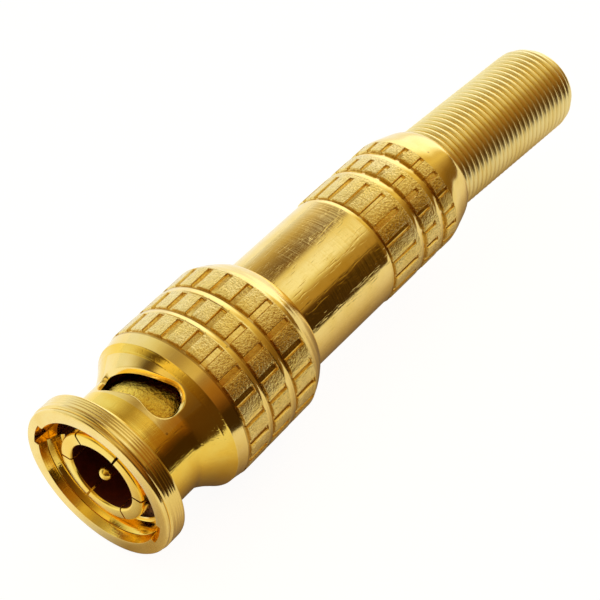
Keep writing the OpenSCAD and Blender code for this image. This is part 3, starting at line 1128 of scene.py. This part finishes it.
def floor():
    """A white floor, which ends just in front of the plug along a slanting edge.

    The metal mirrors the dark surroundings beyond that edge.
    """
    level = -BAND_R * MM
    outline = [
        (-1.2, -0.045), (0.03, -0.045), (0.1, -0.062), (1.2, -0.062), (1.2, 1.2),
        (-1.2, 1.2),
    ]
    mesh = bpy.data.meshes.new("floor")
    mesh.from_pydata([(x, y, level) for x, y in outline], [], [range(len(outline))])
    plane = bpy.data.objects.new("floor", mesh)
    bpy.context.collection.objects.link(plane)
    mesh.materials.append(floor_white())


def floor_white():
    material, n, shader = new_material("floor_white")
    shader.inputs["Base Color"].default_value = (0.2, 0.2, 0.2, 1)
    shader.inputs["Roughness"].default_value = 0.9
    shader.inputs["Specular IOR Level"].default_value = 0.0
    # Beside the plug the floor's emission, which only the metal mirrors, is a painted
    # shadow: a warm shade that darkens with ambient occlusion on the -Y side, while the +Y
    # side is painted an even pale.
    open_sky = n.add("ShaderNodeAmbientOcclusion", samples=8)
    open_sky.inputs["Distance"].default_value = 0.05
    shade = n.ramp(
        open_sky.outputs["AO"],
        [
            (0.3, (0.08, 0.05, 0.025)),
            (0.56, (0.2, 0.135, 0.075)),
            (0.72, (0.34, 0.24, 0.12)),
            (0.81, (0.5, 0.4, 0.25)),
            (0.9, (0.68, 0.61, 0.48)),
            (0.97, (0.74, 0.71, 0.62)),
        ],
    )
    place = n.add("ShaderNodeSeparateXYZ")
    n.link(n.add("ShaderNodeTexCoord").outputs["Object"], place.inputs[0])
    # Painted light: in reflections the floor is painted lighter on the +Y side of the
    # plug.
    lit_side = n.spread(place.outputs[1], -0.002, 0.004)
    mirrored = n.blend(lit_side, shade, (0.88, 0.9, 0.92, 1))
    path = n.add("ShaderNodeLightPath")
    seen = path.outputs["Is Camera Ray"]
    n.link(n.blend(seen, mirrored, (0.94, 0.94, 0.94, 1)), shader.inputs["Emission Color"])
    in_metal_or_glass = n.math(
        "ADD", path.outputs["Is Glossy Ray"], path.outputs["Is Transmission Ray"]
    )
    strength = n.math("ADD", seen, in_metal_or_glass, clamp=True)
    n.link(strength, shader.inputs["Emission Strength"])
    return material


# Light of the surroundings round the plug's axis, as (turn, colour), for surfaces that
# look forwards, for the wide front end, for the tube and for the spring
SKY = {
    "front": [
        (-120, (0.8, 0.8, 0.75)),
        (-75, (0.8, 0.75, 0.6)),
        (-60, (0.5, 0.42, 0.22)),
        (-48, (0.1, 0.06, 0.02)),
        (-36, (0.14, 0.08, 0.02)),
        (-26, (0.95, 0.75, 0.3)),
        (-10, (0.8, 0.62, 0.24)),
        (10, (0.35, 0.22, 0.06)),
        (32, (0.22, 0.11, 0.02)),
        (60, (0.1, 0.045, 0.01)),
        (100, (0.08, 0.04, 0.01)),
        (110, (0.5, 0.45, 0.35)),
    ],
    "near": [
        (-120, (0.9, 0.95, 1.0)),
        (-75, (0.86, 0.88, 0.9)),
        (-52, (0.82, 0.83, 0.76)),
        (-40, (0.72, 0.66, 0.46)),
        (-28, (0.54, 0.44, 0.24)),
        (-17, (0.4, 0.3, 0.14)),
        (-6, (0.44, 0.32, 0.14)),
        (8, (0.62, 0.48, 0.2)),
        (19, (0.66, 0.5, 0.2)),
        (28, (0.36, 0.22, 0.08)),
        (40, (0.36, 0.17, 0.03)),
        (54, (0.28, 0.12, 0.02)),
        (66, (0.14, 0.055, 0.008)),
        (76, (0.045, 0.02, 0.003)),
        (104, (0.045, 0.022, 0.004)),
        (112, (0.4, 0.35, 0.26)),
    ],
    "tube": [
        (-120, (0.95, 0.97, 1.0)),
        (-90, (0.8, 0.82, 0.9)),
        (-78, (0.64, 0.56, 0.42)),
        (-66, (0.54, 0.41, 0.18)),
        (-54, (0.38, 0.26, 0.09)),
        (-42, (0.24, 0.15, 0.05)),
        (-30, (0.15, 0.08, 0.02)),
        (-20, (0.2, 0.11, 0.03)),
        (-10, (0.8, 0.7, 0.42)),
        (2, (0.95, 0.95, 0.85)),
        (20, (1.0, 1.0, 0.9)),
        (30, (0.75, 0.66, 0.36)),
        (40, (0.42, 0.27, 0.07)),
        (55, (0.42, 0.26, 0.06)),
        (61, (0.09, 0.04, 0.01)),
        (70, (0.04, 0.02, 0.004)),
        (100, (0.045, 0.022, 0.005)),
        (108, (0.4, 0.35, 0.26)),
    ],
    "spring": [
        (-120, (1.2, 1.2, 1.3)),
        (-30, (1.35, 1.35, 1.35)),
        (-12, (1.0, 0.92, 0.6)),
        (2, (0.74, 0.56, 0.2)),
        (18, (0.78, 0.6, 0.2)),
        (34, (0.5, 0.34, 0.1)),
        (54, (0.3, 0.17, 0.035)),
        (70, (0.2, 0.11, 0.02)),
        (100, (0.17, 0.085, 0.02)),
        (114, (0.34, 0.26, 0.14)),
    ],
}


def surroundings():
    """White to the camera. What is mirrored depends on the way, round and along X."""
    world = bpy.data.worlds.new("studio")
    bpy.context.scene.world = world
    world.use_nodes = True
    n = Nodes(world.node_tree)
    back = world.node_tree.nodes["Background"]
    split = n.add("ShaderNodeSeparateXYZ")
    n.link(n.add("ShaderNodeTexCoord").outputs["Generated"], split.inputs[0])
    ahead = split.outputs[0]
    turn = n.math("ARCTAN2", n.math("MULTIPLY", split.outputs[1], -1.0), split.outputs[2])
    place = n.spread(turn, -math.pi, math.pi)
    light = {
        part: n.ramp(place, [((at + 180) / 360, colour) for at, colour in table])
        for part, table in SKY.items()
    }
    sky = n.blend(n.spread(ahead, -0.45, -0.25), light["front"], light["near"])
    sky = n.blend(n.spread(ahead, 0.44, 0.5), sky, light["tube"])
    sky = n.blend(n.spread(ahead, 0.57, 0.63), sky, light["spring"])
    seen = n.add("ShaderNodeLightPath").outputs["Is Camera Ray"]
    n.link(n.blend(seen, sky, (1, 1, 1, 1)), back.inputs["Color"])
    back.inputs["Strength"].default_value = 1.0


def camera():
    data = bpy.data.cameras.new("camera")
    data.sensor_width = 36
    data.lens = 108.66
    data.clip_start = 0.005
    place = Vector((-56.4, -63.2, 107.7)) * MM
    back = Vector((-0.5434, -0.4220, 0.7250)).normalized()
    across = Vector((0.6134, -0.7894, 0)).normalized()
    up = back.cross(across).normalized()
    turned = Matrix((up.cross(back), up, back)).transposed().to_4x4()
    eye = bpy.data.objects.new("camera", data)
    eye.matrix_world = Matrix.Translation(place) @ turned
    bpy.context.collection.objects.link(eye)
    bpy.context.scene.camera = eye


floor()
surroundings()
camera()
bpy.context.scene.view_settings.view_transform = "Standard"
